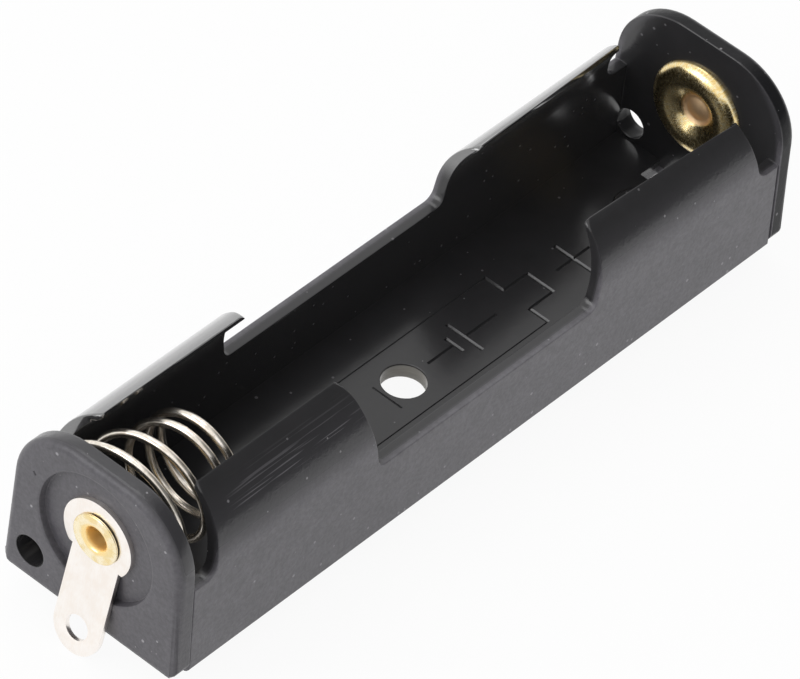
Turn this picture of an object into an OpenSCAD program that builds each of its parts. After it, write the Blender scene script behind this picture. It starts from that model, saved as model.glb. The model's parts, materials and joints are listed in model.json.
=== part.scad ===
// Single-cell holder: a moulded trough whose side walls curl in over the cell,
// a coil spring and a solder lug at the negative end, and a riveted contact
// button and a solder lug at the positive end.
// The origin is the middle of the mounting hole, on the underside.
// X runs along the cell towards its positive end, and Z is up.

/* [Cell] */
// Largest diameter of the cell
cell_d = 10.5; // [9:0.1:12]
// Length of the cell over its nub
cell_len = 44.5; // [38:0.5:52]

/* [Trough] */
// Clearance between the cell and the curved walls
cell_clear = 0.1; // [0.05:0.05:0.3]
// Gap under the cell, above the floor
cell_lift = 0.2; // [0.1:0.05:0.6]
// Length inside the holder for the pressed spring and the contact button
contact_room = 5.1; // [4:0.1:9]
// Thickness of the side walls, which thin out towards the lips
wall_t = 0.9; // [0.7:0.05:1.4]
// Thickness of the floor
floor_t = 1.05; // [0.8:0.05:2]
// Height of the narrow face that ends each curled wall
lip_face = 0.4; // [0.2:0.05:0.5]
// Angle above the horizontal at which the spring end's curled walls end
spring_lip_angle = 50; // [44:0.5:54]
// Angle above the horizontal at which the contact end's curled walls end
contact_lip_angle = 38; // [32:0.5:44]
// Extra half width of the trough at its underside, which gives the sides their draft
side_spread = 0.25; // [0.1:0.05:0.4]
// How far each lip of the contact end swings out over its length
mouth_flare = 0.6; // [0.1:0.1:0.8]
// Rounding of the long lower edges
base_round = 0.6; // [0.3:0.05:0.8]
// Chamfer under the end plates
base_chamfer = 0.3; // [0.1:0.05:0.5]

/* [Wall openings] */
// Length of the spring end's curled walls, at their foot
spring_grip_len = 13.4; // [10:0.1:15]
// Length of the contact end's curled walls, at their foot
contact_grip_len = 14.4; // [10:0.1:16]
// Depth of the finger gap below the cell's axis
finger_drop = 1.05; // [0.5:0.05:2.5]
// Lean of the curled walls' ends
grip_draft = 10; // [4:1:14]
// Corner radius of the spring end's curled walls at the finger gap
spring_grip_r = 1.1; // [0.4:0.1:1.6]
// Corner radius of the contact end's curled walls at the finger gap
contact_grip_r = 0.5; // [0.4:0.1:1.6]
// Corner radius of the curled walls beside the end plates
slot_corner_r = 0.6; // [0.4:0.1:1.2]
// Fillet at the foot of the curled walls, at the finger gap
foot_fillet_r = 0.7; // [0.3:0.1:1]
// Fillet at the bottom of the slots beside the end plates
slot_fillet_r = 0.9; // [0.3:0.1:1.1]
// Width of the slots beside the end plates, at their foot
slot_w = 1.75; // [1.2:0.05:3]
// Depth of those slots below the cell's axis
slot_drop = 0.15; // [0:0.05:1]
// Width of the slot through the floor at each end
floor_slot_w = 4; // [2:0.1:6]
// Diameter of the mounting hole in the floor
mount_hole_d = 2.7; // [2:0.1:3.5]

/* [End plates] */
// Thickness of the end plates
end_t = 1.2; // [1:0.05:2]
// Height of the end plates above the spring end's curled walls
end_rise = 0.7; // [0.3:0.05:1.4]
// How far the end plates stand out beyond the side walls
end_proud = 0.05; // [0.02:0.01:0.2]
// Radius of the end plates' upper corners
end_corner_r = 4.4; // [2:0.1:5]
// Rounding of the end plates' outer edge
end_edge_r = 0.5; // [0.3:0.05:0.9]
// Diameter of the round recess for the solder lug
recess_d = 8.3; // [6.5:0.1:9]
// Depth of that recess
recess_depth = 0.5; // [0.35:0.05:0.6]
// Diameter of the wire hole in each end plate
wire_hole_d = 2.04; // [1.4:0.02:2.4]
// Distance of the wire hole's centre from the middle plane
wire_hole_y = 4.5; // [3.5:0.05:4.6]
// Gap between the floor and the wire hole
wire_hole_lift = 0.15; // [0.05:0.05:0.4]
// Width of the fine seam between the end plates and the side walls
seam_w = 0.08; // [0.05:0.01:0.2]
// Depth of that seam
seam_depth = 0.12; // [0.05:0.01:0.2]

/* [Solder lugs] */
// Thickness of the lug's sheet
lug_t = 0.3; // [0.2:0.05:0.35]
// Diameter of the lug's head
lug_head_d = 5; // [4.6:0.1:6]
// Width of the lug's tail
lug_tail_w = 3.4; // [2.6:0.1:4]
// Diameter of the wire hole in the tail
lug_hole_d = 1.6; // [1:0.1:2]
// Distance of the bend below the rivet
lug_bend_drop = 1.55; // [1.4:0.05:2]
// Distance of the tail's hole from the bend
lug_tail_len = 4.95; // [4:0.05:7]
// Lean of the tail away from the end plate
lug_lean = 11.8; // [10:0.2:20]

/* [Rivets] */
// Diameter of the rivets' shank
rivet_d = 2.3; // [2:0.05:2.6]
// Diameter of the bore through the eyelet
rivet_bore_d = 1.4; // [1:0.05:1.6]
// Diameter of the rivets' rolled heads
rivet_head_d = 3.4; // [3:0.1:4]
// Thickness of the rivets' rolled heads
rivet_head_t = 0.2; // [0.1:0.05:0.3]
// Radius of the eyelet's flare into its bore
flare_r = 0.4; // [0.2:0.05:0.5]
// Clearance round the rivets' shank
rivet_clear = 0.03; // [0.01:0.01:0.1]
// Diameter of the contact button
button_d = 6.4; // [5:0.1:8]
// Thickness of the contact button at its rounded rim
button_rim_t = 0.45; // [0.3:0.05:0.6]
// Height of the contact button's dome above its rim
button_dome = 0.15; // [0.1:0.05:0.3]
// Diameter of the dimple in the contact button
dimple_d = 2.2; // [1.4:0.1:2.6]
// Depth of that dimple
dimple_depth = 0.35; // [0.15:0.05:0.5]

/* [Spring] */
// Diameter of the spring wire
wire_d = 0.52; // [0.4:0.02:0.7]
// Gap between the spring's widest turn and the wall of the trough
spring_side_gap = 0.15; // [0.1:0.05:0.4]
// Sideways set of the coil's centre from the eyelet's
coil_set_y = 0.35; // [0:0.05:0.4]
// Upward set of the coil's centre from the eyelet's
coil_set_z = 0.2; // [0:0.05:0.3]
// Radius of the coil at its free end
tip_r = 3.1; // [2.6:0.05:3.6]
// Turns in the open part of the coil, which narrows towards the free end
open_turns = 2.35; // [1.6:0.05:3]
// Pitch of the open turns
open_pitch = 2.4; // [1.5:0.05:2.6]
// Turns in the closer part of the coil, at the free end
close_turns = 1.75; // [1:0.05:2]
// Pitch of the closer turns
close_pitch = 1.05; // [0.8:0.05:1.4]
// Turns of the loop that the eyelet clamps
loop_turns = 0.75; // [0.5:0.05:0.8]
// Turns of the flat spiral from that loop to the wall
spiral_turns = 0.75; // [0.5:0.05:1]
// Gap between the wire and what clamps it
wire_gap = 0.02; // [0.01:0.01:0.05]

/* [Hidden] */
$fn = 96;
eps = 0.01;
grip_top_gap = 0.1;
arc_steps = 8;

// Trough
cell_r = cell_d / 2;
bay_r = cell_r + cell_clear;
wall_r = bay_r + wall_t;
axis_z = floor_t + cell_lift + cell_r;
lip_z = lip_top(spring_lip_angle);
body_len = cell_len + contact_room + 2 * end_t;
half_len = body_len / 2;
inner_half = half_len - end_t;
low_wall_z = axis_z - finger_drop;
base_half = wall_r + side_spread;
side_draft = atan(side_spread / axis_z);
slot_z = axis_z - slot_drop;
spring_slot_x = -inner_half + slot_w;
contact_slot_x = inner_half - slot_w;
spring_foot_x = spring_slot_x + spring_grip_len;
contact_foot_x = contact_slot_x - contact_grip_len;

// End plates
plate_half_w = base_half + end_proud;
plate_h = lip_z + end_rise;
edge_r = min(end_edge_r, end_t - 0.1);
wire_hole_z = floor_t + wire_hole_lift + wire_hole_d / 2;
wire_hole_run = 0.1;

// Metalwork
lug_inner_x = recess_depth;
lug_outer_x = recess_depth - lug_t;
rivet_hole_d = rivet_d + 2 * rivet_clear;
wire_r = wire_d / 2;
spring_base_x = end_t + wire_gap + wire_r;
spring_base_r = bay_r - spring_side_gap - wire_r - norm([coil_set_y, coil_set_z]);
loop_r = rivet_d / 2 + wire_gap + wire_r;
eyelet_inner_x = end_t + wire_d + 2 * wire_gap;
wire_start = -loop_turns - spiral_turns;
wire_end = open_turns + close_turns;
coil_start_angle = -36;
pitch_ease = 0.12;
rings_per_turn = 24;
wire_sides = 10;

// ---- Placing ----

// Puts a piece drawn from the outer face inwards, along X, at the spring end.
module at_spring_end() {
    translate([-half_len, 0, 0]) children();
}

// The same at the contact end, facing the other way.
module at_contact_end() {
    translate([half_len, 0, 0]) mirror([1, 0, 0]) children();
}

module at_both_ends() {
    at_spring_end() children();
    at_contact_end() children();
}

// Extrudes a section drawn in (Y, Z) along X, from x0 to x1.
module along_x(x0, x1) {
    translate([x0, 0, 0]) rotate([90, 0, 90]) linear_extrude(x1 - x0) children();
}

// Extrudes an outline drawn in (X, Z) across the whole width.
module across_y(width) {
    rotate([90, 0, 0]) linear_extrude(width, center = true) children();
}

// A cylinder along X, from x0 to x1, about the line at height z and offset y.
module rod_x(d, x0, x1, y = 0, z = axis_z) {
    translate([x0, y, z]) rotate([0, 90, 0]) cylinder(d = d, h = x1 - x0);
}

// ---- Holder body ----

// Half the width of the mouth, and the top of its lips, for a given lip angle.
function mouth_half(lip_angle) = bay_r * cos(lip_angle);
function lip_top(lip_angle) = axis_z + bay_r * sin(lip_angle) + lip_face;

// Distance from the middle plane to the centre of the outer face's arc. The arc
// starts upright at the cell's axis and ends at the top of the lip.
function curl_centre(lip_angle) = let (y = mouth_half(lip_angle), h = lip_top(lip_angle) - axis_z)
    (wall_r * wall_r - y * y - h * h) / (2 * (wall_r - y));

// Section of the trough in (Y, Z): flat floor, straight sides, and walls that
// curl over the cell and thin out up to the lips.
module trough_section(lip_angle, narrowing = 0) {
    curl_y = curl_centre(lip_angle);
    mouth_y = mouth_half(lip_angle) - narrowing;
    difference() {
        union() {
            polygon([[-base_half, 0], [base_half, 0], [wall_r, axis_z], [-wall_r, axis_z]]);
            for (s = [-1, 1]) translate([s * curl_y, axis_z]) circle(r = wall_r - curl_y);
        }
        translate([-bay_r, floor_t]) square([2 * bay_r, axis_z - floor_t]);
        translate([0, axis_z]) circle(r = bay_r);
        translate([-mouth_y, axis_z]) square([2 * mouth_y, wall_r]);
    }
}

// Points along an arc about c, from angle a0 to angle a1.
function arc(c, r, a0, a1) = [for (i = [0 : arc_steps]) let (a = a0 + (a1 - a0) * i / arc_steps)
    c + r * [cos(a), sin(a)]];

// How far a fillet's or corner's centre lies from the leaning end of a wall,
// at a height h above its foot.
function foot_reach(r) = r * tan(45 - grip_draft / 2);
function lean_reach(r, h) = (h - r) * tan(grip_draft) + r / cos(grip_draft);

// Side view in (X, Z) of one curled wall's two upper corners and the two
// fillets at its foot, as it stands with its finger gap towards +X. Both ends
// lean in.
function grip_points(foot_x, slot_x, grip_r, lip_angle) = let (
    top = lip_top(lip_angle) + grip_top_gap
) concat(
    arc([foot_x + foot_reach(foot_fillet_r), low_wall_z + foot_fillet_r], foot_fillet_r,
        270, 180 + grip_draft),
    arc([foot_x - lean_reach(grip_r, top - low_wall_z), top - grip_r], grip_r, grip_draft, 90),
    arc([slot_x + lean_reach(slot_corner_r, top - slot_z), top - slot_corner_r], slot_corner_r,
        90, 180 - grip_draft),
    arc([slot_x - foot_reach(slot_fillet_r), slot_z + slot_fillet_r], slot_fillet_r, -grip_draft, -90)
);

// The same points for a wall whose finger gap is towards -X.
function mirrored(points) = [for (i = [len(points) - 1 : -1 : 0]) [-points[i].x, points[i].y]];

// Side view in (X, Z) of the trough: low in the middle, with a curled wall at
// each end that stands clear of the end plate.
module trough_outline() {
    end_x = inner_half + end_t / 2;
    polygon(concat(
        [[-end_x, slot_z], [-end_x, -1], [end_x, -1], [end_x, slot_z]],
        mirrored(grip_points(-contact_foot_x, -contact_slot_x, contact_grip_r, contact_lip_angle)),
        grip_points(spring_foot_x, spring_slot_x, spring_grip_r, spring_lip_angle)
    ));
}

// Cut that opens the contact end's mouth evenly towards the end plate.
module mouth_flare_cut() {
    near_y = mouth_half(contact_lip_angle) - mouth_flare / 2;
    far_y = near_y + mouth_flare;
    near_x = contact_foot_x;
    far_x = inner_half;
    translate([0, 0, axis_z]) linear_extrude(wall_r) polygon([
        [near_x, -near_y], [far_x, -far_y], [far_x, far_y], [near_x, near_y]
    ]);
}

module trough() {
    end_x = inner_half + end_t / 2;
    difference() {
        intersection() {
            union() {
                along_x(-end_x, 0) trough_section(spring_lip_angle);
                along_x(0, end_x) trough_section(contact_lip_angle, mouth_flare / 2);
            }
            across_y(3 * wall_r) trough_outline();
        }
        mouth_flare_cut();
    }
}

// Section of the end plate's rim: x is depth from the outer face, y is outwards.
module rim_section() {
    translate([edge_r, 0]) square([end_t - edge_r, edge_r]);
    translate([edge_r, 0]) intersection() {
        circle(r = edge_r);
        translate([-edge_r, 0]) square([edge_r + eps, edge_r]);
    }
}

// End plate with its outer face at x = 0. The rim is one section, run up the
// leaning sides, round the upper corners and over the top.
module end_plate() {
    corner_z = plate_h - end_corner_r;
    corner_y = plate_half_w - end_corner_r / cos(side_draft) - corner_z * tan(side_draft);
    inset_r = end_corner_r - edge_r;
    side_len = 2 * corner_z;
    difference() {
        union() {
            along_x(0, end_t) {
                translate([-corner_y, 0]) square([2 * corner_y, corner_z + inset_r]);
                for (s = [0, 1]) mirror([s, 0]) translate([corner_y, corner_z]) {
                    circle(r = inset_r);
                    rotate(side_draft) translate([-corner_y, -side_len]) square([corner_y + inset_r, side_len]);
                }
            }
            for (s = [0, 1]) mirror([0, s, 0]) translate([0, corner_y, corner_z]) {
                rotate([side_draft, 0, 0]) translate([0, inset_r, -side_len]) linear_extrude(side_len)
                    rim_section();
                rotate([90, 0, 90]) rotate([0, 0, side_draft]) rotate_extrude(angle = 90 - side_draft)
                    translate([inset_r, 0]) mirror([1, -1]) rim_section();
            }
            translate([0, 0, plate_h - edge_r]) across_y(2 * corner_y) rim_section();
        }
        translate([-1, -body_len / 2, -body_len]) cube([end_t + 2, body_len, body_len]);
    }
}

// Everything cut from one end plate and the floor next to it.
module end_cuts() {
    rod_x(recess_d, -1, recess_depth);
    rod_x(rivet_hole_d, -1, end_t + 1);
    rod_x(wire_hole_d, -1, end_t + wire_hole_run, wire_hole_y, wire_hole_z);
    translate([end_t, -floor_slot_w / 2, -1]) cube([slot_w, floor_slot_w, floor_t + 2]);
    for (s = [0, 1]) mirror([0, s, 0])
        translate([end_t, wall_r, axis_z]) rotate([side_draft, 0, 0]) translate([0, -seam_depth, -2 * axis_z])
            cube([seam_w, 1, 2 * axis_z]);
}

// Rounds the two long lower edges and chamfers the two under the end plates.
module base_edges() {
    cut = base_chamfer * sqrt(2);
    round_y = plate_half_w - base_round * tan(45 + side_draft / 2);
    for (s = [0, 1]) mirror([0, s, 0]) along_x(-half_len - 1, half_len + 1) polygon(concat(
        [[round_y, -1]],
        arc([round_y, base_round], base_round, -90, side_draft),
        [[plate_half_w + 1, base_round], [plate_half_w + 1, -1]]
    ));
    for (s = [-1, 1]) translate([s * half_len, 0, 0]) rotate([0, 45, 0])
        cube([cut, 2 * plate_half_w + 2, cut], center = true);
}

module holder_body() {
    color("#2b2c2f") difference() {
        union() {
            trough();
            at_both_ends() end_plate();
        }
        at_both_ends() end_cuts();
        translate([0, 0, -1]) cylinder(d = mount_hole_d, h = floor_t + 2);
        base_edges();
    }
}

// ---- Metalwork ----

// Solder lug with its head in the recess and its tail leaning outwards.
module solder_lug() {
    bend_z = axis_z - lug_bend_drop;
    hole_d = rivet_hole_d;
    difference() {
        union() {
            intersection() {
                rod_x(lug_head_d, lug_outer_x, lug_inner_x);
                translate([lug_outer_x - 1, -lug_head_d, bend_z]) cube([lug_t + 2, 2 * lug_head_d, lug_head_d + 2]);
            }
            translate([lug_inner_x, 0, bend_z]) rotate([0, lug_lean, 0]) difference() {
                lug_tail();
                translate([-lug_t - 1, 0, -lug_tail_len]) rotate([0, 90, 0]) cylinder(d = lug_hole_d, h = lug_t + 2);
            }
        }
        rod_x(hole_d, lug_outer_x - 1, lug_inner_x + 1);
    }
}

// Tail below the bend, before it is leant: its inner face lies on x = 0.
module lug_tail() {
    translate([-lug_t, 0, 0]) rotate([90, 0, 90]) linear_extrude(lug_t) {
        translate([-lug_tail_w / 2, -lug_tail_len]) square([lug_tail_w, lug_tail_len]);
        translate([0, -lug_tail_len]) circle(d = lug_tail_w);
    }
}

module negative_lug() {
    color("#cfccc4") at_spring_end() solder_lug();
}

module positive_lug() {
    color("#cfccc4") at_contact_end() solder_lug();
}

// Turned section of a piece about the cell's axis, drawn as (radius, x).
module turned() {
    translate([0, 0, axis_z]) rotate([0, 90, 0]) rotate_extrude() children();
}

// Eyelet that clamps the spring's loop and the lug on the end plate.
module negative_eyelet() {
    head_x = lug_outer_x - rivet_head_t;
    mouth_r = rivet_bore_d / 2 + flare_r;
    color("#d8b565") at_spring_end() turned() difference() {
        union() {
            translate([0, head_x]) square([rivet_head_d / 2, rivet_head_t]);
            translate([0, head_x]) square([rivet_d / 2, eyelet_inner_x + rivet_head_t - head_x]);
            translate([0, eyelet_inner_x]) square([rivet_head_d / 2, rivet_head_t]);
        }
        translate([0, head_x - 1]) square([rivet_bore_d / 2, eyelet_inner_x + 3]);
        difference() {
            translate([0, head_x - eps]) square([mouth_r, flare_r + eps]);
            translate([mouth_r, head_x + flare_r]) circle(r = flare_r);
        }
    }
}

// Contact button: a domed disc with a rounded rim and a dimple, riveted
// through plate and lug.
module positive_contact() {
    head_x = lug_outer_x - rivet_head_t;
    crown_x = end_t + button_rim_t;
    crown_r = button_d / 2 - button_rim_t;
    dome_r = (pow(crown_r, 2) + pow(button_dome, 2)) / (2 * button_dome);
    dimple_r = pow(dimple_d / 2, 2) / (2 * dimple_depth) + dimple_depth / 2;
    color("#dcc07c") at_contact_end() turned() difference() {
        union() {
            translate([0, head_x]) square([rivet_head_d / 2, rivet_head_t]);
            translate([0, head_x]) square([rivet_d / 2, end_t - head_x + eps]);
            translate([0, end_t]) square([crown_r, button_rim_t]);
            translate([crown_r, end_t]) intersection() {
                circle(r = button_rim_t);
                square(button_rim_t);
            }
            intersection() {
                translate([0, crown_x + button_dome - dome_r]) circle(r = dome_r, $fn = 720);
                translate([0, crown_x - eps]) square([crown_r, 1]);
            }
        }
        translate([-button_d, head_x - 1]) square([button_d, 10]);
        translate([0, crown_x + button_dome - dimple_depth + dimple_r]) circle(r = dimple_r);
    }
}

// ---- Spring ----

// The wire is drawn by its count of turns t. Below 0 it lies flat against the
// end plate: first the loop, then a spiral out to the coil's first turn.
function wire_radius(t) = lookup(t, [
    [-spiral_turns, loop_r],
    [0, spring_base_r],
    [open_turns, tip_r]
]);

function wire_angle(t) = coil_start_angle + 360 * t;

// Rise after t turns: open turns, then closer ones.
function raw_rise(t) = lookup(t, [
    [0, 0],
    [open_turns, open_turns * open_pitch],
    [wire_end, open_turns * open_pitch + close_turns * close_pitch]
]);

// The same with each change of pitch eased over part of a turn.
function wire_rise(t) = (raw_rise(t - pitch_ease) + 2 * raw_rise(t) + raw_rise(t + pitch_ease)) / 4;

// How far the wire has gone from the eyelet's centre line to the coil's.
function wire_set(t) = lookup(t, [[-spiral_turns, 0], [0, 1]]);

function wire_point(t) = [
    spring_base_x + wire_rise(t),
    coil_set_y * wire_set(t) + wire_radius(t) * cos(wire_angle(t)),
    axis_z + coil_set_z * wire_set(t) + wire_radius(t) * sin(wire_angle(t))
];

function unit(v) = v / norm(v);

// Ring of points round the wire, square to its run at t turns.
function wire_ring(t) = let (
    step = 0.005,
    run = unit(wire_point(min(t + step, wire_end)) - wire_point(max(t - step, wire_start))),
    out = [0, cos(wire_angle(t)), sin(wire_angle(t))],
    u = unit(out - (out * run) * run),
    v = cross(run, u)
) [for (k = [0 : wire_sides - 1]) let (b = 360 * k / wire_sides)
    wire_point(t) + wire_r * (cos(b) * u + sin(b) * v)];

module negative_spring() {
    turns = wire_end - wire_start;
    rings = ceil(turns * rings_per_turn);
    points = [for (i = [0 : rings]) each wire_ring(wire_start + turns * i / rings)];
    n = wire_sides;
    sides = [for (i = [0 : rings - 1], k = [0 : n - 1]) let (a = i * n + k, b = i * n + (k + 1) % n)
        each [[a, a + n, b], [b, a + n, b + n]]];
    caps = [[for (k = [0 : n - 1]) k], [for (k = [n - 1 : -1 : 0]) rings * n + k]];
    color("#d9d4c8") at_spring_end() polyhedron(points, concat(sides, caps), convexity = 10);
}

holder_body();
negative_spring();
negative_eyelet();
negative_lug();
positive_contact();
positive_lug();
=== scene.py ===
# %% [markdown]
# A holder for one small cylindrical cell. It is a black moulded trough whose side
# walls curl in over the cell. A coil spring and a solder lug sit at one end, and a
# contact button and a second lug at the other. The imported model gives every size
# and place; this script dresses it. First come the model and the unit helpers.

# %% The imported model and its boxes
import json

import bmesh
import bpy
import numpy as np
from mathutils import Matrix, Vector
from mathutils.bvhtree import BVHTree


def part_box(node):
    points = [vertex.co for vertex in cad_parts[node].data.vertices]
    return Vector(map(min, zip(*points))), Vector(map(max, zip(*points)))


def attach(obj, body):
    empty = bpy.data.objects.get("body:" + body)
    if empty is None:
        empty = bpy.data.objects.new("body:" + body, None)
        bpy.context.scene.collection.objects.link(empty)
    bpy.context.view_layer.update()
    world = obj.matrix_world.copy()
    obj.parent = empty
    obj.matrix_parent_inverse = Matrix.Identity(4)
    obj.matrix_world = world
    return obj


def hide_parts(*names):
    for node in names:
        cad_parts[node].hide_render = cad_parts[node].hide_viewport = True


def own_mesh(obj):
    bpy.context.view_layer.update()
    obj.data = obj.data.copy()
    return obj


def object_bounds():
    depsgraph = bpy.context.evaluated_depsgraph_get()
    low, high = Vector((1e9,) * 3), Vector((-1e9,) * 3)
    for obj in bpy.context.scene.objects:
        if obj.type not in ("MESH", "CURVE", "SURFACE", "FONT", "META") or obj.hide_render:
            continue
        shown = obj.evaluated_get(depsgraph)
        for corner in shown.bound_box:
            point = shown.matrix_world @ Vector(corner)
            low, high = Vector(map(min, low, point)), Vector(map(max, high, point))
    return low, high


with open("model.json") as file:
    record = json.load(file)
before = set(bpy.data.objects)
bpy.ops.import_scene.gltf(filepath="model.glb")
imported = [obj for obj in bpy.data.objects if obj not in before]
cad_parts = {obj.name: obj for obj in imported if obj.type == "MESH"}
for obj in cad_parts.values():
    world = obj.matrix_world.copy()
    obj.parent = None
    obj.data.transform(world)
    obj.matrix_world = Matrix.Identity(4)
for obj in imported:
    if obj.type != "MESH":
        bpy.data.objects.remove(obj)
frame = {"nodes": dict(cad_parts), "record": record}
cad_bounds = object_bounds()
MM = 0.001


def node_box(node):
    """Lowest and highest corners of a node, in millimetres."""
    low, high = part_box(node)
    return np.array(low) / MM, np.array(high) / MM


body_low, body_high = node_box("holder_body")
mounts = {m["name"]: m for m in frame["record"]["mounts"]}
axis_z = mounts["cell_bay"]["pos_m"][2] / MM
cell_r = mounts["cell_bay"]["dims"]["r_mm"]
print("body box, mm:", body_low.round(3), body_high.round(3))
print("cell axis at z", axis_z, "mm, cell radius", cell_r, "mm")

# %% [markdown]
# The camera looks down on the spring end from about 44 degrees, through a long
# lens, so the trough's edges stay almost parallel. Its turn is built as a matrix from
# its aim and its upward direction, which needs no constraint to be worked out first.

# %% Camera
SENSOR_MM, LENS_MM = 36.0, 348.939
SHIFT = (-0.0039, 0.0013)
CLIP_M = (0.01, 10)
CAMERA_MM = (-251.643, -185.754, 308.473)
LOOK = Vector((0.57621, 0.42633, -0.69730))
UP = Vector((0.47658, 0.51784, 0.71043))

camera_data = bpy.data.cameras.new("camera")
camera = bpy.data.objects.new("camera", camera_data)
bpy.context.scene.collection.objects.link(camera)
right = LOOK.cross(UP).normalized()
up = right.cross(LOOK).normalized()
turn = Matrix((right, up, -LOOK.normalized())).transposed().to_4x4()
camera.matrix_world = Matrix.Translation(Vector(CAMERA_MM) * MM) @ turn
camera_data.sensor_width = SENSOR_MM
camera_data.lens = LENS_MM
camera_data.shift_x, camera_data.shift_y = SHIFT
camera_data.clip_start, camera_data.clip_end = CLIP_M
bpy.context.scene.camera = camera
bpy.context.scene.view_settings.view_transform = "Standard"
print("lens", round(camera_data.lens, 1), "mm, right", right.to_tuple(3))

# %% [markdown]
# Colours are written as sRGB hex values, as a paint chart gives them, and one function
# turns them into the linear values that shaders work with. One more adds a node.

# %% Colour and node helpers
def linear(hex_colour):
    """One sRGB hex colour as linear RGBA."""
    srgb = np.array([int(hex_colour[i:i + 2], 16) for i in (1, 3, 5)]) / 255
    rgb = np.where(srgb > 0.04045, ((srgb + 0.055) / 1.055) ** 2.4, srgb / 12.92)
    return (*rgb.tolist(), 1.0)


def add_node(owner, kind, settings=None, links=None):
    """Adds one node. settings names its properties or inputs, links its inputs' sources."""
    node = owner.node_tree.nodes.new("ShaderNode" + kind)
    for name, value in (settings or {}).items():
        if isinstance(name, str) and hasattr(node, name):
            setattr(node, name, value)
        else:
            node.inputs[name].default_value = value
    for name, source in (links or {}).items():
        owner.node_tree.links.new(source, node.inputs[name])
    return node


def new_material(name):
    """An empty node material with its Principled BSDF linked to the output."""
    material = bpy.data.materials.new(name)
    material.use_nodes = True
    material.node_tree.nodes.clear()
    shader = add_node(material, "BsdfPrincipled")
    add_node(material, "OutputMaterial", links={"Surface": shader.outputs["BSDF"]})
    return material, shader


# %% [markdown]
# The room is a white tent that is open towards -Y and +X. Black plastic has almost
# no colour of its own, so what it mirrors decides how it looks: the walls mirror the
# white floor and turn grey, and the shoulders mirror the open side and stay dark.
# The floor is white to the camera and in reflections, and keeps a faint shadow.

# %% Floor
FLOOR_GAP_MM = 0.02
FLOOR_HALF = 1.5
SHADOW_SHARE = 0.07
floor_z = cad_bounds[0][2] - FLOOR_GAP_MM * MM
floor_mesh = bpy.data.meshes.new("floor")
floor_mesh.from_pydata(
    [(x * FLOOR_HALF, y * FLOOR_HALF, floor_z) for x, y in ((-1, -1), (1, -1), (1, 1), (-1, 1))],
    [], [(0, 1, 2, 3)])
floor = bpy.data.objects.new("floor", floor_mesh)
bpy.context.scene.collection.objects.link(floor)

# Matt white paper: it scatters light evenly and mirrors nothing.
floor_material, floor_shader = new_material("white_paper")
floor_shader.inputs["Base Color"].default_value = linear("#f4f4f4")
floor_shader.inputs["Roughness"].default_value = 0.9
floor_shader.inputs["Specular IOR Level"].default_value = 0.0
floor_mesh.materials.append(floor_material)


def seen_share(owner, share):
    """A factor that is share for camera, glossy and transmission rays, and 0 for others."""
    path = add_node(owner, "LightPath")
    first = add_node(owner, "Math", {"operation": "MAXIMUM"},
                     {0: path.outputs["Is Camera Ray"], 1: path.outputs["Is Glossy Ray"]})
    seen = add_node(owner, "Math", {"operation": "MAXIMUM"},
                    {0: first.outputs[0], 1: path.outputs["Is Transmission Ray"]})
    shared = add_node(owner, "Math", {"operation": "MULTIPLY", 1: share}, {0: seen.outputs[0]})
    return shared.outputs[0]


white_light = add_node(floor_material, "Emission", {"Strength": 1.0})
floor_mix = add_node(floor_material, "MixShader", links={
    0: seen_share(floor_material, 1 - SHADOW_SHARE),
    1: floor_shader.outputs["BSDF"], 2: white_light.outputs["Emission"]})
floor_output = next(n for n in floor_material.node_tree.nodes if n.type == "OUTPUT_MATERIAL")
floor_material.node_tree.links.new(floor_mix.outputs[0], floor_output.inputs["Surface"])
print("floor at z", round(floor_z / MM, 2), "mm, shadow share", SHADOW_SHARE)

# %% [markdown]
# The world is the tent itself. How squarely a ray heads for the open side decides how
# bright the world is there, with a soft edge between the cloth and the opening.

# %% World
OPEN_SIDE, OPEN_EDGE = (0.52, -0.76, 0.40), (0.45, 0.85)
TENT_LEVEL, OPEN_LEVEL = 1.0, 0.16
world = bpy.data.worlds.new("white_tent")
bpy.context.scene.world = world
world.use_nodes = True
background = world.node_tree.nodes["Background"]
background.inputs["Strength"].default_value = 1.0
heading = add_node(world, "TexCoord").outputs["Generated"]
facing = add_node(world, "VectorMath", {"operation": "DOT_PRODUCT", 1: OPEN_SIDE}, {0: heading})
tent = add_node(world, "MapRange", {
    "interpolation_type": "SMOOTHSTEP", "From Min": OPEN_EDGE[0], "From Max": OPEN_EDGE[1],
    "To Min": TENT_LEVEL, "To Max": OPEN_LEVEL}, {"Value": facing.outputs["Value"]})
camera_ray = add_node(world, "LightPath").outputs["Is Camera Ray"]
level = add_node(world, "Math", {"operation": "MAXIMUM"},
                 {0: tent.outputs["Result"], 1: camera_ray})
world.node_tree.links.new(level.outputs[0], background.inputs["Color"])
print("tent level", TENT_LEVEL, "and open side", OPEN_LEVEL)

# %% [markdown]
# Two soft boxes lift the rear walls and the metal. A lamp's power is worked out from
# its brightness, so that it keeps its level when its size is changed.

# %% Lamps
def area_lamp(name, heading, distance_mm, size_mm, radiance):
    """A square soft lamp that faces the part from a heading, with a given brightness."""
    data = bpy.data.lights.new(name, "AREA")
    data.size = size_mm * MM
    data.energy = radiance * np.pi * data.size ** 2
    lamp = bpy.data.objects.new(name, data)
    bpy.context.scene.collection.objects.link(lamp)
    outward = Vector(heading).normalized()
    turned = outward.to_track_quat("Z", "Y").to_matrix().to_4x4()
    lamp.matrix_world = Matrix.Translation(outward * distance_mm * MM) @ turned
    print(name, "lamp,", round(data.energy, 2), "W")
    return lamp


area_lamp("left_box", (-0.80, 0.43, 0.42), distance_mm=420, size_mm=230, radiance=2.6)
area_lamp("top_box", (0.15, 0.35, 0.92), distance_mm=450, size_mm=200, radiance=1.6)

# %% [markdown]
# Every shape below is either a grid of points worked out by a formula, or a copy
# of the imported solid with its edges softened.

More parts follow.
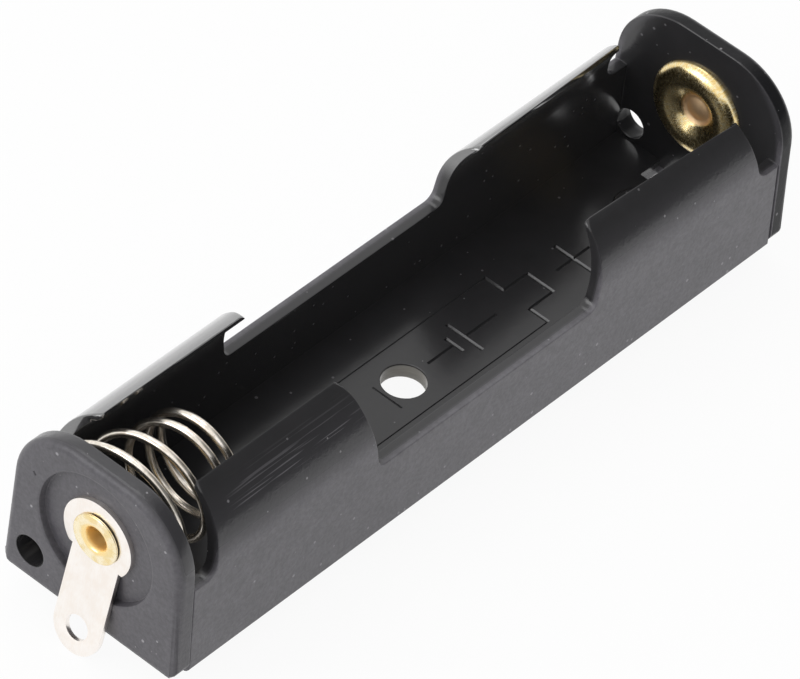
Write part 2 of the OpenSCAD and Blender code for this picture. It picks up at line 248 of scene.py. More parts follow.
# %% Mesh helpers
DOUBLE_M = 1e-7
FLAT_DEGREES = 0.6


def make_object(name, mesh, material, node, body="holder"):
    """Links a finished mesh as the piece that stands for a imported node."""
    piece = bpy.data.objects.new(name, mesh)
    bpy.context.scene.collection.objects.link(piece)
    mesh.materials.clear()
    mesh.materials.append(material)
    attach(piece, body)
    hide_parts(node)
    print(name, "has", len(mesh.polygons), "faces")
    return piece


def grid_mesh(name, points, wrap_u=False, wrap_v=False, cap_ends=False):
    """A mesh from a (rows, columns, 3) array in millimetres, joined round where it wraps."""
    rows, cols = points.shape[:2]
    index = np.arange(rows * cols).reshape(rows, cols)
    if wrap_u:
        index = np.vstack([index, index[:1]])
    if wrap_v:
        index = np.hstack([index, index[:, :1]])
    quads = np.stack([index[:-1, :-1], index[:-1, 1:], index[1:, 1:], index[1:, :-1]], -1)
    faces = quads.reshape(-1, 4).tolist()
    if cap_ends:
        faces.append(index[0, :cols][::-1].tolist())
        faces.append(index[-1, :cols].tolist())
    mesh = bpy.data.meshes.new(name)
    mesh.from_pydata((points.reshape(-1, 3) * MM).tolist(), [], faces)
    mesh.update()
    return mesh


def clean(mesh, sharp_degrees=40):
    """Merges doubles, turns the faces outwards and smooths all but the sharp edges."""
    work = bmesh.new()
    work.from_mesh(mesh)
    bmesh.ops.remove_doubles(work, verts=work.verts, dist=DOUBLE_M)
    bmesh.ops.recalc_face_normals(work, faces=work.faces)
    work.to_mesh(mesh)
    work.free()
    mesh.shade_smooth()
    mesh.set_sharp_from_angle(angle=np.radians(sharp_degrees))
    return mesh


def node_copy(node, name, merge_mm=0.002):
    """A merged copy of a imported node's mesh, its flat faces joined into single ones."""
    mesh = frame["nodes"][node].data.copy()
    mesh.name = name
    work = bmesh.new()
    work.from_mesh(mesh)
    bmesh.ops.remove_doubles(work, verts=work.verts, dist=merge_mm * MM)
    bmesh.ops.dissolve_limit(
        work, angle_limit=np.radians(FLAT_DEGREES), verts=work.verts, edges=work.edges)
    work.to_mesh(mesh)
    work.free()
    for layer in list(mesh.attributes):
        if layer.name == "custom_normal":
            mesh.attributes.remove(layer)
    return mesh


def apply_modifiers(piece):
    """Replaces the piece's mesh by its modified one, and drops the modifiers."""
    graph = bpy.context.evaluated_depsgraph_get()
    mesh = bpy.data.meshes.new_from_object(piece.evaluated_get(graph))
    piece.modifiers.clear()
    piece.data = mesh
    return mesh


# %% [markdown]
# Every finish is built from a few patterns that read Object coordinates, so that none
# slides over its piece. Their sizes are in millimetres of the real surface.

# %% Pattern helpers
SMALLEST_SPECK = 0.3


def object_point(owner):
    """Object coordinates, in metres."""
    return add_node(owner, "TexCoord").outputs["Object"]


def math_node(owner, operation, first, second=0.0, clamp=False):
    """One Math node, where each term is a number or a socket."""
    terms = {0: first, 1: second}
    settings = {k: v for k, v in terms.items() if isinstance(v, (int, float))}
    links = {k: v for k, v in terms.items() if not isinstance(v, (int, float))}
    node = add_node(owner, "Math", {"operation": operation, "use_clamp": clamp, **settings}, links)
    return node.outputs[0]


def distance_to(owner, place, axes, centre_mm):
    """Distance from an axis that runs along the third direction; axes picks the other two."""
    squares = []
    for axis, centre in zip(axes, centre_mm):
        off = math_node(owner, "SUBTRACT", place.outputs[axis], centre * MM)
        squares.append(math_node(owner, "MULTIPLY", off, off))
    return math_node(owner, "SQRT", math_node(owner, "ADD", *squares))


def noise(owner, point, grain_mm, detail=2.0, roughness=0.5, stretch=(1, 1, 1)):
    """Noise whose blobs are about grain_mm wide, and stretched along each axis."""
    spread = add_node(owner, "Mapping", {
        "vector_type": "POINT", "Scale": tuple(1 / s for s in stretch)}, {"Vector": point})
    node = add_node(owner, "TexNoise", {
        "Scale": 1 / (grain_mm * MM), "Detail": detail, "Roughness": roughness},
        {"Vector": spread.outputs[0]})
    return node.outputs["Fac"]


def remap(owner, value, low, high, to_low=0.0, to_high=1.0):
    """A smooth step of value from low..high to to_low..to_high."""
    node = add_node(owner, "MapRange", {
        "interpolation_type": "SMOOTHSTEP", "From Min": low, "From Max": high,
        "To Min": to_low, "To Max": to_high}, {"Value": value})
    return node.outputs["Result"]


def blend_colour(owner, share, first, second):
    """Mixes two colours, each a hex or a socket."""
    node = add_node(owner, "Mix", {"data_type": "RGBA"}, {0: share})
    for index, colour in ((6, first), (7, second)):
        if isinstance(colour, str):
            node.inputs[index].default_value = linear(colour)
        else:
            owner.node_tree.links.new(colour, node.inputs[index])
    return node.outputs[2]


def specks(owner, point, spacing_mm, size_share, kept):
    """Round dots, one at most to a cell of spacing_mm; kept is the share of cells with one."""
    cells = add_node(owner, "TexVoronoi", {
        "feature": "F1", "Scale": 1 / (spacing_mm * MM)}, {"Vector": point})
    chance = add_node(owner, "SeparateColor", {}, {0: cells.outputs["Color"]})
    there = math_node(owner, "LESS_THAN", chance.outputs[0], kept)
    width = math_node(owner, "MULTIPLY_ADD", chance.outputs[1], size_share)
    width.node.inputs[2].default_value = SMALLEST_SPECK * size_share
    near = math_node(owner, "LESS_THAN", cells.outputs["Distance"], width)
    return math_node(owner, "MULTIPLY", there, near)


# %% [markdown]
# The trough is injection-moulded black ABS. Its outside left the mould with a fine
# matt grain, and carries dust, so it looks dark grey. Its inside and the shoulders
# near the lips were polished, and look nearly black. Masks tell the two apart by the
# distance from the cell's axis, the distance along the trough and the height. Each
# pair below is where a mask starts and where it is full.

# %% Places on the moulding
OUTSIDE_AT_R, BAY_R, RECESS_R = (5.75, 6.2), (5.32, 5.42), (4.8, 4.4)
PLATE_X, PLATE_FACE_X = (24.83, 24.93), (25.5, 25.95)
UNDERSIDE_Z, SHOULDER_Z = (0.7, 0.4), (7.0, 8.6)
WIRE_HOLE = tuple(c / MM for c in mounts["negative_wire_hole"]["pos_m"][1:])
WIRE_HOLE_R = (1.07, 1.04)
FLOOR_HOLE_R, FLOOR_HOLE_Z = (1.42, 1.37), (1.0, 0.9)
RUBBED_X, RUBBED_HALF = 15.6, (6.0, 3.6)
RUBBED_Y, RUBBED_Z = (-2.6, -3.2), (8.7, 9.4)
GLOSS_X, GLOSS_Y = (24.7, 24.5), (2.0, 3.0)


def step_mm(owner, value, edges_mm):
    """A smooth step that is 0 at the first of two places and 1 at the second."""
    return remap(owner, value, edges_mm[0] * MM, edges_mm[1] * MM)


def moulding_masks(owner, point):
    """Masks from 0 to 1, from smooth steps of the place on the moulding."""
    place = add_node(owner, "SeparateXYZ", {}, {0: point})
    across, height = place.outputs[1], place.outputs[2]
    along = math_node(owner, "ABSOLUTE", place.outputs[0])
    over_axis = math_node(owner, "MAXIMUM", math_node(owner, "SUBTRACT", height, axis_z * MM), 0.0)
    from_axis = math_node(owner, "SQRT", math_node(
        owner, "ADD", math_node(owner, "MULTIPLY", across, across),
        math_node(owner, "MULTIPLY", over_axis, over_axis)))

    wall = step_mm(owner, from_axis, OUTSIDE_AT_R)
    end = step_mm(owner, along, PLATE_X)
    face = step_mm(owner, along, PLATE_FACE_X)
    under = step_mm(owner, height, UNDERSIDE_Z)
    outside = math_node(owner, "MAXIMUM", math_node(owner, "MAXIMUM", wall, end), under)
    # Painted shade: the wire hole's wall takes the near-black polished colour, which stands in for
    # the shadow in the hole, and the polished roughness with it.
    wire_hole_painted_shade = step_mm(owner, distance_to(owner, place, (1, 2), WIRE_HOLE), WIRE_HOLE_R)
    outside = math_node(owner, "SUBTRACT", outside, wire_hole_painted_shade, clamp=True)
    # A mask of the floor hole's wall, where a painted reflection of the white floor beneath goes.
    floor_hole_painted_light = math_node(
        owner, "MULTIPLY", step_mm(owner, height, FLOOR_HOLE_Z),
        step_mm(owner, distance_to(owner, place, (0, 1), (0, 0)), FLOOR_HOLE_R))
    far_rim = math_node(owner, "MULTIPLY", math_node(owner, "SUBTRACT", 1.0, face),
                        step_mm(owner, place.outputs[0], PLATE_X))
    plain = math_node(owner, "MAXIMUM", face, math_node(
        owner, "MULTIPLY", step_mm(owner, from_axis, RECESS_R), end))
    shoulder = math_node(owner, "SUBTRACT", step_mm(owner, height, SHOULDER_Z), plain, clamp=True)

    off_middle = math_node(owner, "ABSOLUTE", math_node(
        owner, "ADD", place.outputs[0], RUBBED_X * MM))
    rubbed = math_node(owner, "MULTIPLY", step_mm(owner, height, RUBBED_Z),
                       step_mm(owner, across, RUBBED_Y))
    rubbed = math_node(owner, "MULTIPLY", rubbed, step_mm(owner, off_middle, RUBBED_HALF))
    outer_part = math_node(owner, "MULTIPLY", step_mm(owner, from_axis, BAY_R),
                           step_mm(owner, along, GLOSS_X))
    glossy = math_node(owner, "MULTIPLY", step_mm(owner, across, GLOSS_Y),
                       math_node(owner, "MULTIPLY", shoulder, outer_part))
    return {"outside": outside, "end": end, "shoulder": shoulder, "far_rim": far_rim,
            "floor_hole_painted_light": floor_hole_painted_light, "rubbed": rubbed, "glossy": glossy}


# %% Black moulding
# Real mould grain is about 0.05 mm wide and real dust is finer than these specks. Both
# are drawn as coarse as they need to show.
GRAIN_MM, PATCH_MM, DUST_MM = 0.28, 1.6, 0.8
STREAK_MM, STREAK_STRETCH = 0.14, (40, 1, 1)
ABS_IOR = 1.54


def black_moulding():
    """Black ABS: a soft dark grey where it is grained, and deep black where polished."""
    material, shader = new_material("black_abs_moulding")
    point = object_point(material)
    masks = moulding_masks(material, point)
    outside, shoulder = masks["outside"], masks["shoulder"]

    streaks = noise(material, point, STREAK_MM, 2, 0.5, STREAK_STRETCH)
    streaks = math_node(material, "MULTIPLY", masks["rubbed"],
                        remap(material, streaks, 0.56, 0.66))
    patches = noise(material, point, PATCH_MM, 4, 0.6)
    grain = noise(material, point, GRAIN_MM, 3, 0.7)
    mottle = math_node(material, "ADD", remap(material, patches, 0.3, 0.7, 0.35, 0.65),
                       remap(material, grain, 0.25, 0.75, -0.35, 0.35), clamp=True)

    matt = blend_colour(material, mottle, "#504e53", "#6b696e")
    end_matt = blend_colour(material, mottle, "#3d3b40", "#535156")
    matt = blend_colour(material, masks["end"], matt, end_matt)
    worn = blend_colour(material, shoulder, matt, "#39383b")
    worn = blend_colour(material, streaks, worn, "#7b797d")
    worn = blend_colour(material, masks["far_rim"], worn, "#1d1d1f")
    polished = blend_colour(material, patches, "#242425", "#2f2e30")
    surface = blend_colour(material, outside, polished, worn)
    # Painted reflection: the floor hole's wall is painted light grey, as if it mirrored the white
    # floor under the hole.
    surface = blend_colour(material, masks["floor_hole_painted_light"], surface, "#9b978f")

    dust = specks(material, point, DUST_MM, 0.1, 0.65)
    dust = math_node(material, "MULTIPLY", dust, remap(material, outside, 0.0, 1.0, 0.22, 0.5))
    surface = blend_colour(material, dust, surface, "#b0aeb2")

    matt_share = math_node(material, "SUBTRACT", outside,
                           math_node(material, "MULTIPLY", shoulder, 0.8))
    relief = math_node(material, "ADD", math_node(material, "MULTIPLY", grain, math_node(
        material, "MULTIPLY", outside, 0.02)), math_node(material, "MULTIPLY", patches, 0.012))
    bump = add_node(material, "Bump", {"Strength": 1.0, "Distance": MM}, {"Height": relief})
    drawn = {"Base Color": surface,
             "Roughness": remap(material, matt_share, 0.0, 1.0, 0.2, 0.42),
             "Normal": bump.outputs[0],
             "Coat Weight": masks["glossy"],
             "Specular IOR Level": remap(material, masks["far_rim"], 0.0, 1.0, 0.5, 0.15)}
    for name, socket in drawn.items():
        material.node_tree.links.new(socket, shader.inputs[name])
    plain_values = {"Coat Roughness": 0.06, "Coat IOR": 2.4, "IOR": ABS_IOR,
                    "Sheen Weight": 0.08, "Sheen Roughness": 0.4}
    for name, value in plain_values.items():
        shader.inputs[name].default_value = value
    return material


# %% [markdown]
# The metals are tinned sheet, plated brass and plated wire. A metal shows what it
# mirrors, tinted by its own colour. So each has a pale tint, soft clouds where the
# plating flowed, and a roughness that blurs the tent as the real finish does.

# %% Metals
ROLL_LINE_MM, ROLL_STRETCH = 0.1, (1, 1, 12)
STROKE_SCALE, STROKE_RUN = 24.0, 260.0


def tinned_sheet():
    """Tinned steel sheet, rolled: a pale satin with faint lines and soft clouds."""
    material, shader = new_material("tinned_sheet")
    point = object_point(material)
    cloud = noise(material, point, 1.1, 4, 0.6)
    rolled = noise(material, point, ROLL_LINE_MM, 2, 0.5, ROLL_STRETCH)
    tone = math_node(material, "ADD", math_node(material, "MULTIPLY", cloud, 0.7),
                     math_node(material, "MULTIPLY", rolled, 0.3))
    colour = blend_colour(material, remap(material, tone, 0.35, 0.65), "#faf2ea", "#fffaf5")
    material.node_tree.links.new(colour, shader.inputs["Base Color"])
    rough = remap(material, tone, 0.3, 0.7, 0.31, 0.28)
    material.node_tree.links.new(rough, shader.inputs["Roughness"])
    shader.inputs["Metallic"].default_value = 1.0
    return material


def plated_brass():
    """Plated brass tube: a pale bright ring, and a deeper, duller gold in the funnel."""
    material, shader = new_material("plated_brass")
    point = object_point(material)
    cloud = noise(material, point, 0.7, 3, 0.6)
    place = add_node(material, "SeparateXYZ", {}, {0: point})
    distance = distance_to(material, place, (1, 2), (0, axis_z))
    rim = blend_colour(material, remap(material, cloud, 0.35, 0.65), "#f6dfa6", "#fff3d3")
    colour = blend_colour(material, step_mm(material, distance, (0.9, 1.1)), "#ffe2a2", rim)
    material.node_tree.links.new(colour, shader.inputs["Base Color"])
    rough = remap(material, distance, 0.74 * MM, 0.84 * MM, 0.55, 0.24)
    material.node_tree.links.new(rough, shader.inputs["Roughness"])
    shader.inputs["Metallic"].default_value = 1.0
    return material


def brushed_button():
    """Gold-plated brass, pressed and brushed: radial marks break up its bright bands, and
    the dimple's floor is redder and duller. A mark is 1 / STROKE_SCALE of a radian wide,
    which is coarser than the real ones, so that it shows."""
    material, shader = new_material("brushed_gold_plate")
    point = object_point(material)
    place = add_node(material, "SeparateXYZ", {}, {0: point})
    rise = math_node(material, "SUBTRACT", place.outputs[2], axis_z * MM)
    angle = math_node(material, "ARCTAN2", rise, place.outputs[1])
    distance = distance_to(material, place, (1, 2), (0, axis_z))
    polar = add_node(material, "CombineXYZ", {}, {
        0: math_node(material, "COSINE", angle), 1: math_node(material, "SINE", angle),
        2: math_node(material, "MULTIPLY", distance, STROKE_RUN)})
    strokes = add_node(material, "TexNoise", {
        "Scale": STROKE_SCALE, "Detail": 4.0, "Roughness": 0.65},
        {"Vector": polar.outputs[0]}).outputs["Fac"]
    dimple = step_mm(material, distance, (1.12, 0.98))
    gold = blend_colour(material, remap(material, strokes, 0.35, 0.7), "#f0d088", "#fff3cb")
    colour = blend_colour(material, dimple, gold, "#ffdcb0")
    material.node_tree.links.new(colour, shader.inputs["Base Color"])
    rough = math_node(material, "ADD", remap(material, strokes, 0.3, 0.7, 0.18, 0.3),
                      math_node(material, "MULTIPLY", dimple, 0.3))
    material.node_tree.links.new(rough, shader.inputs["Roughness"])
    bump = add_node(material, "Bump", {"Strength": 0.4, "Distance": 0.01 * MM}, {"Height": strokes})
    material.node_tree.links.new(bump.outputs[0], shader.inputs["Normal"])
    shader.inputs["Metallic"].default_value = 1.0
    return material


def nickel_wire():
    """Nickel-plated spring steel, drawn to wire: bright, slightly warm and a little soft."""
    material, shader = new_material("nickel_wire")
    point = object_point(material)
    cloud = noise(material, point, 0.5, 3, 0.6)
    colour = blend_colour(material, remap(material, cloud, 0.3, 0.7), "#e4dacb", "#fff8ee")
    material.node_tree.links.new(colour, shader.inputs["Base Color"])
    shader.inputs["Metallic"].default_value = 1.0
    shader.inputs["Roughness"].default_value = 0.27
    return material


plastic = black_moulding()
tin = tinned_sheet()
brass = plated_brass()
button_gold = brushed_button()
nickel = nickel_wire()
print("materials:", [m.name for m in (plastic, tin, brass, button_gold, nickel)])

# %% [markdown]
# The mould tool was engraved with a few signs that show how the cell goes in: its
# outline, a plus and a minus stroke, and a cell symbol. Each stroke is a V-shaped
# groove, cut out of the moulding by a boolean with a long three-sided bar.

# %% Grooves
GROOVE_W, GROOVE_DEPTH = 0.30, 0.17
END_SLOPE, OVER_SHARE = 0.4, 1.2
floor_top = 1.05


def groove(start, end, width=GROOVE_W, depth=GROOVE_DEPTH, level=floor_top):
    """Points of a bar with a V section from start to end, (x, y) each, in millimetres."""
    start, end = np.array(start, float), np.array(end, float)
    run = (end - start) / np.linalg.norm(end - start)
    side = np.array([-run[1], run[0]]) * width
    low_start, low_end = start + run * width * END_SLOPE, end - run * width * END_SLOPE
    over = depth * OVER_SHARE
    top = [start - side, end - side, end + side, start + side]
    upper = [(x, y, level + over) for x, y in top]
    return np.array(upper + [(*low_start, level - depth), (*low_end, level - depth)])


BAR_FACES = [(0, 1, 2, 3), (0, 4, 5, 1), (3, 2, 5, 4), (0, 3, 4), (1, 5, 2)]


def bars(name, strokes, to_row=np.eye(3)):
    """One mesh of bars that don't touch each other, turned into the row's axes."""
    points = [groove(*stroke) @ to_row for stroke in strokes]
    faces = [tuple(i + 6 * k for i in face) for k in range(len(points)) for face in BAR_FACES]
    mesh = bpy.data.meshes.new(name)
    mesh.from_pydata((np.vstack(points) * MM).tolist(), [], faces)
    work = bmesh.new()
    work.from_mesh(mesh)
    bmesh.ops.recalc_face_normals(work, faces=work.faces)
    work.to_mesh(mesh)
    work.free()
    return mesh


def cut(piece, mesh):
    """Takes a closed mesh out of a piece."""
    tool = bpy.data.objects.new(mesh.name, mesh)
    bpy.context.scene.collection.objects.link(tool)
    carve = piece.modifiers.new("carve", "BOOLEAN")
    carve.operation = "DIFFERENCE"
    carve.solver = "EXACT"
    carve.object = tool
    apply_modifiers(piece)
    bpy.data.objects.remove(tool)


# %% Floor signs
CELL_SIDE, CELL_BACK_X, CELL_SHOULDER_X, NUB_X, NUB_HALF = 2.43, -21.5, 9.7, 11.78, 1.0
PLUS_X, PLUS_ARM, MINUS_X = 14.7, 1.5, -1.7
SYMBOL_X, LEAD_START, LEAD_END = 4.6, 2.0, 8.0
GAP, PAST = 0.05, 0.1
HAIRLINE, FAINT, THIN = (0.1, 0.05), (0.16, 0.08), (0.2, 0.11)
along_strokes = [
    ((CELL_BACK_X, CELL_SIDE), (CELL_SHOULDER_X - GAP, CELL_SIDE), *HAIRLINE),
    ((CELL_BACK_X, -CELL_SIDE), (CELL_SHOULDER_X - GAP, -CELL_SIDE), *HAIRLINE),
    ((CELL_SHOULDER_X, NUB_HALF), (NUB_X - GAP, NUB_HALF), *THIN),
    ((CELL_SHOULDER_X, -NUB_HALF), (NUB_X - GAP, -NUB_HALF), *THIN),
    ((PLUS_X - PLUS_ARM, 0), (PLUS_X + PLUS_ARM, 0), *THIN),
    ((LEAD_START, 0), (SYMBOL_X - 0.4, 0), *THIN),
    ((SYMBOL_X + 0.75, 0), (LEAD_END, 0), *THIN),
]
cross_strokes = [
    ((CELL_SHOULDER_X, CELL_SIDE + PAST), (CELL_SHOULDER_X, NUB_HALF - PAST)),
    ((CELL_SHOULDER_X, -NUB_HALF + PAST), (CELL_SHOULDER_X, -CELL_SIDE - PAST)),
    ((NUB_X, NUB_HALF + PAST), (NUB_X, -NUB_HALF - PAST)),
    ((PLUS_X, PLUS_ARM), (PLUS_X, -PLUS_ARM)),
    ((MINUS_X, 0.9), (MINUS_X, -1.4), *FAINT),
    ((SYMBOL_X - 0.3, 0.75), (SYMBOL_X - 0.3, -0.75)),
    ((SYMBOL_X + 0.6, 1.45), (SYMBOL_X + 0.6, -1.45)),
]

# %% [markdown]
# The mould tool leaves marks of its own: a short tick on the spring end's plate and the
# shallow ring of an ejector pin in the floor. The lower corners of the plates are
# rounded, which a bar with a hollow quarter circle cuts. The matrix turns a bar that
# was drawn for the floor so that it lies in the plate.

# %% Marks and corners
FROM_PLATE = np.array([[0, 1, 0], [0, 0, 1], [-1, 0, 0]], float)
gate_tick = [((4.78, 8.32), (4.52, 8.05), 0.2, 0.12, -body_low[0])]
PIN_X, PIN_Y, PIN_R, RING_HALF = 20.9, 0.3, 1.5, 0.12
RING_OVER, RING_UNDER = 0.1, -0.06


def pin_ring():
    """The pin's ring: a V of three points, carried round a circle."""
    angle = np.linspace(0, 2 * np.pi, 48, endpoint=False)[:, None]
    radius = PIN_R + np.array([-RING_HALF, 0, RING_HALF])
    height = floor_top + np.array([RING_OVER, RING_UNDER, RING_OVER])
    points = np.stack([PIN_X + radius * np.cos(angle), PIN_Y + radius * np.sin(angle),
                       height + 0 * angle], -1)
    return clean(grid_mesh("pin_ring", points, wrap_u=True, wrap_v=True))


CORNER_R, SEAM_X, CLEAR = 1.1, 24.76, 0.5


def corner_tool(x_side, y_side):
    """What the rounding takes off one lower corner of an end plate."""
    angle = np.radians(np.linspace(-90, 0, 9))
    centre_y, centre_z = body_high[1] - CORNER_R, CORNER_R - 0.01
    y = np.append(centre_y + CORNER_R * np.cos(angle), [body_high[1] + CLEAR] * 2 + [centre_y])
    z = np.append(centre_z + CORNER_R * np.sin(angle), [centre_z, -CLEAR, -CLEAR])
    ends = [np.stack([0 * y + x_side * x, y_side * y, z], -1)
            for x in (SEAM_X, body_high[0] + CLEAR)]
    return clean(grid_mesh("corner_tool", np.array(ends), wrap_v=True, cap_ends=True))


# %% [markdown]
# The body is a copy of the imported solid. Its sharp edges get the small roundings
# that every moulding has, wide enough to catch the light, and the flat faces keep
# their own normals so that they stay flat. Where the rounding is wider than the
# faces beside it, it would throw points off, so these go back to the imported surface.

# %% Body
PLATE_ROUND, EDGE_ROUND, STRAY = 0.2, 0.09, 0.075
BODY_MERGE, SHARP_DEGREES, SMOOTH_DEGREES = 0.03, 35, 38
HOLE_MARGIN, NEAR_PLATE_X, ON_PLATE_X = 0.35, 24, 25.9
SEAM_HALF, SEAM_TOP = 0.1, 1.3


def mark_edges(mesh):
    """Gives each sharp edge a bevel weight, most on the end plates, none at the wire holes."""
    work = bmesh.new()
    work.from_mesh(mesh)
    weight = work.edges.layers.float.new("bevel_weight_edge")
    hole = mounts["negative_wire_hole"]
    hole_y, hole_z = np.array(hole["pos_m"][1:])
    hole_r = hole["dims"]["r_mm"] * MM + HOLE_MARGIN * MM
    for edge in work.edges:
        sharp = edge.is_manifold and edge.calc_face_angle() > np.radians(SHARP_DEGREES)
        near_hole = all(
            abs(v.co.x) > NEAR_PLATE_X * MM
            and np.hypot(v.co.y - hole_y, v.co.z - hole_z) < hole_r for v in edge.verts)
        in_seam = all(abs(abs(v.co.x) / MM - SEAM_X) < SEAM_HALF and v.co.z < SEAM_TOP * MM
                      for v in edge.verts)
        on_plate = all(abs(v.co.x) > ON_PLATE_X * MM for v in edge.verts)
        size = 1.0 if on_plate else EDGE_ROUND / PLATE_ROUND
        edge[weight] = size if sharp and not near_hole and not in_seam else 0.0
    work.to_mesh(mesh)
    work.free()


def pull_back(mesh, packed):
    """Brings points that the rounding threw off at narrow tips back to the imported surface."""
    moved = 0
    for vertex in mesh.vertices:
        place, _, _, gap = packed.find_nearest(vertex.co)
        if gap > STRAY * MM:
            vertex.co = place
            moved += 1
    print("points pulled back:", moved)


body_mesh = node_copy("holder_body", "moulded_body", merge_mm=BODY_MERGE)
moulded_body = make_object("moulded_body", body_mesh, plastic, "holder_body")
for x_side in (-1, 1):
    for y_side in (-1, 1):
        cut(moulded_body, corner_tool(x_side, y_side))
mark_edges(moulded_body.data)
packed_solid = bmesh.new()
packed_solid.from_mesh(moulded_body.data)
packed_surface = BVHTree.FromBMesh(packed_solid)
packed_solid.free()
soften = moulded_body.modifiers.new("soften", "BEVEL")
soften.width = PLATE_ROUND * MM
soften.segments = 2
soften.limit_method = "WEIGHT"
soften.use_clamp_overlap = False
soften.miter_outer = "MITER_ARC"
apply_modifiers(moulded_body)
pull_back(moulded_body.data, packed_surface)
cut(moulded_body, bars("along_grooves", along_strokes))
cut(moulded_body, bars("cross_grooves", cross_strokes))
cut(moulded_body, bars("gate_tick", gate_tick, FROM_PLATE))
cut(moulded_body, pin_ring())
moulded_body.data.shade_smooth()
level_faces = moulded_body.modifiers.new("level_faces", "WEIGHTED_NORMAL")
level_faces.mode = "FACE_AREA_WITH_ANGLE"
level_faces.weight = 50
level_faces.keep_sharp = True
moulded_body.data.set_sharp_from_angle(angle=np.radians(SMOOTH_DEGREES))
apply_modifiers(moulded_body)
moulded_body.data.materials.clear()
moulded_body.data.materials.append(plastic)
print("body faces after softening:", len(moulded_body.data.polygons))

# %% [markdown]
# The spring is nickel-plated wire, coiled in one run: a loop that the eyelet clamps, a
# flat spiral out to the widest turn, then a helix that narrows, with open turns first
# and closer ones at the tip. A circle carried along that path makes it.

# %% Spring
WIRE_D = 0.52
WIRE_SIDES = 20
RINGS_PER_TURN = 96
OPEN_TURNS, OPEN_PITCH = 2.35, 2.4
CLOSE_TURNS, CLOSE_PITCH = 1.75, 1.05
LOOP_TURNS, SPIRAL_TURNS = 0.75, 0.75
COIL_SET = np.array([0.35, 0.2])
COIL_START = np.radians(-36)
PITCH_EASE = 0.12
spring_low, spring_high = node_box("negative_spring")
wire_r = WIRE_D / 2
LOOP_R = 1.43
TIP_R = 3.1
BASE_R = 4.537


def raw_rise(t):
    """Rise along X after t turns: open turns, then closer ones."""
    ends = [0, OPEN_TURNS, OPEN_TURNS + CLOSE_TURNS]
    rises = [0, OPEN_TURNS * OPEN_PITCH, OPEN_TURNS * OPEN_PITCH + CLOSE_TURNS * CLOSE_PITCH]
    return np.interp(t, ends, rises)


def wire_centre(t):
    """Centre of the wire after t turns: a loop, a flat spiral, then a narrowing helix."""
    radius = np.interp(t, [-SPIRAL_TURNS, 0, OPEN_TURNS], [LOOP_R, BASE_R, TIP_R])
    rise = (raw_rise(t - PITCH_EASE) + 2 * raw_rise(t) + raw_rise(t + PITCH_EASE)) / 4
    angle = COIL_START + 2 * np.pi * t
    moved = np.interp(t, [-SPIRAL_TURNS, 0], [0, 1])
    return np.stack([
        spring_low[0] + wire_r + rise,
        COIL_SET[0] * moved + radius * np.cos(angle),
        axis_z + COIL_SET[1] * moved + radius * np.sin(angle)], -1), angle


def wire_tube(turns, radius, sides):
    """Carries a circle along the wire, held square to its run."""
    centre, angle = wire_centre(turns)
    run = np.gradient(centre, axis=0)
    run /= np.linalg.norm(run, axis=1, keepdims=True)
    out = np.stack([np.zeros_like(angle), np.cos(angle), np.sin(angle)], -1)
    out -= (out * run).sum(1, keepdims=True) * run
    out /= np.linalg.norm(out, axis=1, keepdims=True)
    side = np.cross(run, out)
    around = np.linspace(0, 2 * np.pi, sides, endpoint=False)
    ring = (np.cos(around)[None, :, None] * out[:, None]
            + np.sin(around)[None, :, None] * side[:, None])
    return centre[:, None] + radius * ring


first_turn = -LOOP_TURNS - SPIRAL_TURNS
last_turn = OPEN_TURNS + CLOSE_TURNS
turns = np.linspace(first_turn, last_turn, int((last_turn - first_turn) * RINGS_PER_TURN))
spring_mesh = clean(grid_mesh(
    "coil_spring", wire_tube(turns, wire_r, WIRE_SIDES), wrap_v=True, cap_ends=True))
coil_spring = make_object(
    "coil_spring", spring_mesh, nickel, "negative_spring", "spring")
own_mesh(coil_spring)

# %% [markdown]
# The button is a gold-plated washer pressed into a ring: it rises from a dimple in
# the middle to a soft ridge, and rolls over to its rim. Turning one profile about
# the cell's axis makes it, with its shank and the riveted head outside.

# %% Turned pieces
TURN_STEPS = 144


def turned_piece(name, depth, radius, end_x, inward):
    """Turns a profile about the cell's axis; depth runs inward from a plate's outer face."""
    angle = np.linspace(0, 2 * np.pi, TURN_STEPS, endpoint=False)[:, None]
    x = end_x + inward * depth[None, :] + 0 * angle
    points = np.stack([x, radius * np.cos(angle), axis_z + radius * np.sin(angle)], -1)
    return clean(grid_mesh(name, points, wrap_u=True), 50)


def arc_rows(centre, size, start, end, steps):
    """Depth and radius along an ellipse from one angle to another, in degrees."""
    angle = np.radians(np.linspace(start, end, steps))
    return centre[0] + size[0] * np.sin(angle), centre[1] + size[1] * np.cos(angle)


RIM_R, RIDGE_R, RIDGE_DEPTH = 3.2, 2.15, 1.86
DIMPLE_R, DIMPLE_LIP_DEPTH, DIMPLE_DEPTH, DIMPLE_DOME = 1.12, 1.42, 1.14, 0.16
DIMPLE_FLAT, DIMPLE_SLOPE = 0.68, 0.32
PLATE_T, SHANK_R, HEAD_R, HEAD_T = 1.2, 1.15, 1.7, 0.2
out_x = body_high[0]

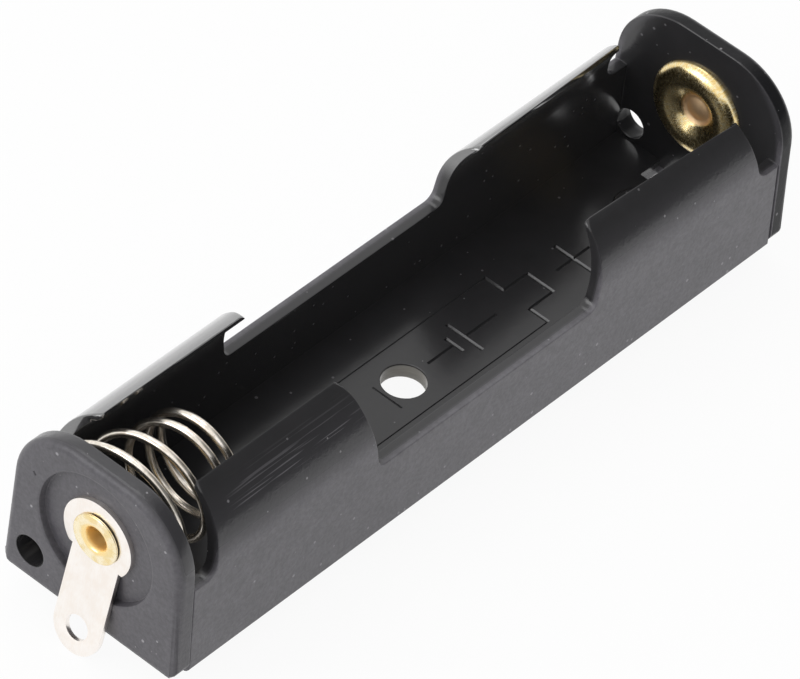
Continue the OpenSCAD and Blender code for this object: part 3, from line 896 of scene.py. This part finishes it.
dimple_r = np.linspace(0, DIMPLE_R, 14)
dimple_wall = np.clip((dimple_r / DIMPLE_R - DIMPLE_FLAT) / DIMPLE_SLOPE, 0, 1) ** 2
dimple_dome = np.clip(1 - (dimple_r / DIMPLE_R / DIMPLE_FLAT) ** 2, 0, 1)
dimple_depth = (DIMPLE_DEPTH + (DIMPLE_LIP_DEPTH - DIMPLE_DEPTH) * dimple_wall
                + DIMPLE_DOME * dimple_dome)
dish_r = np.linspace(DIMPLE_R, RIDGE_R, 18)[1:]
dish_depth = DIMPLE_LIP_DEPTH + (RIDGE_DEPTH - DIMPLE_LIP_DEPTH) * np.sin(
    (dish_r - DIMPLE_R) / (RIDGE_R - DIMPLE_R) * np.pi / 2)
roll_depth, roll_r = arc_rows(
    (PLATE_T, RIDGE_R), (RIDGE_DEPTH - PLATE_T, RIM_R - RIDGE_R), 88, 0, 20)
back_r = np.array([SHANK_R, SHANK_R, HEAD_R, HEAD_R, 0])
back_depth = np.array([PLATE_T, HEAD_T, HEAD_T, 0.0, 0.0])
contact_mesh = turned_piece(
    "contact_button", np.concatenate([dimple_depth, dish_depth, roll_depth, back_depth]),
    np.concatenate([dimple_r, dish_r, roll_r, back_r]), out_x, -1)
contact_button = make_object(
    "contact_button", contact_mesh, button_gold, "positive_contact")

# %% [markdown]
# The eyelet is a short brass tube. Its outer end is rolled over into a flat ring
# with a funnel in the middle, and the ring's edge stands off the lug by a hair. The
# bore's wall is left open between the last two depths, a band 0.2 mm long in the
# inner head, so this mesh isn't closed there.

# %% Eyelet
FUNNEL_R, BORE_R, EYELET_R = 0.98, 0.72, 1.62
LUG_FACE, FUNNEL_DEPTH, BORE_DEPTH = 0.2, 0.33, 0.5
CLAMP_DEPTH, EYELET_DEPTH = 1.76, 1.96
RING_T, RING_RISE, RING_EDGE = 0.07, 0.09, (0.13, 1.42)
in_x = body_low[0]
funnel_r = np.linspace(BORE_R, FUNNEL_R, 8)
funnel_share = (FUNNEL_R - funnel_r) / (FUNNEL_R - BORE_R)
funnel_depth = FUNNEL_DEPTH * (1 - np.sqrt(np.clip(1 - funnel_share ** 2, 0, 1)))
ring_depth, ring_r = arc_rows((RING_T, EYELET_R - RING_T), (-RING_RISE, RING_T), 80, -40, 7)
eyelet_depth = np.concatenate([
    [CLAMP_DEPTH, BORE_DEPTH], funnel_depth, ring_depth,
    [RING_EDGE[0], LUG_FACE, CLAMP_DEPTH, CLAMP_DEPTH, EYELET_DEPTH, EYELET_DEPTH]])
eyelet_r = np.concatenate([
    [BORE_R, BORE_R], funnel_r, ring_r,
    [RING_EDGE[1], SHANK_R, SHANK_R, HEAD_R, HEAD_R, BORE_R]])
eyelet_mesh = turned_piece("rolled_eyelet", eyelet_depth, eyelet_r, in_x, 1)
rolled_eyelet = make_object("rolled_eyelet", eyelet_mesh, brass, "negative_eyelet")

# %% [markdown]
# The solder lugs are stamped from thin sheet and tinned. They keep their packed
# outline, and the press leaves a small roll-over along the edges.

# %% Lugs
LUG_ROLL, LUG_SHARP_DEGREES = 0.05, 35
LUG_NAMES = {"negative_lug": "negative_solder_lug", "positive_lug": "positive_solder_lug"}
for node, name in LUG_NAMES.items():
    lug = make_object(name, node_copy(node, name), tin, node)
    roll = lug.modifiers.new("roll", "BEVEL")
    roll.width = LUG_ROLL * MM
    roll.segments = 2
    roll.limit_method = "ANGLE"
    roll.angle_limit = np.radians(LUG_SHARP_DEGREES)
    apply_modifiers(lug)
    clean(lug.data, LUG_SHARP_DEGREES)
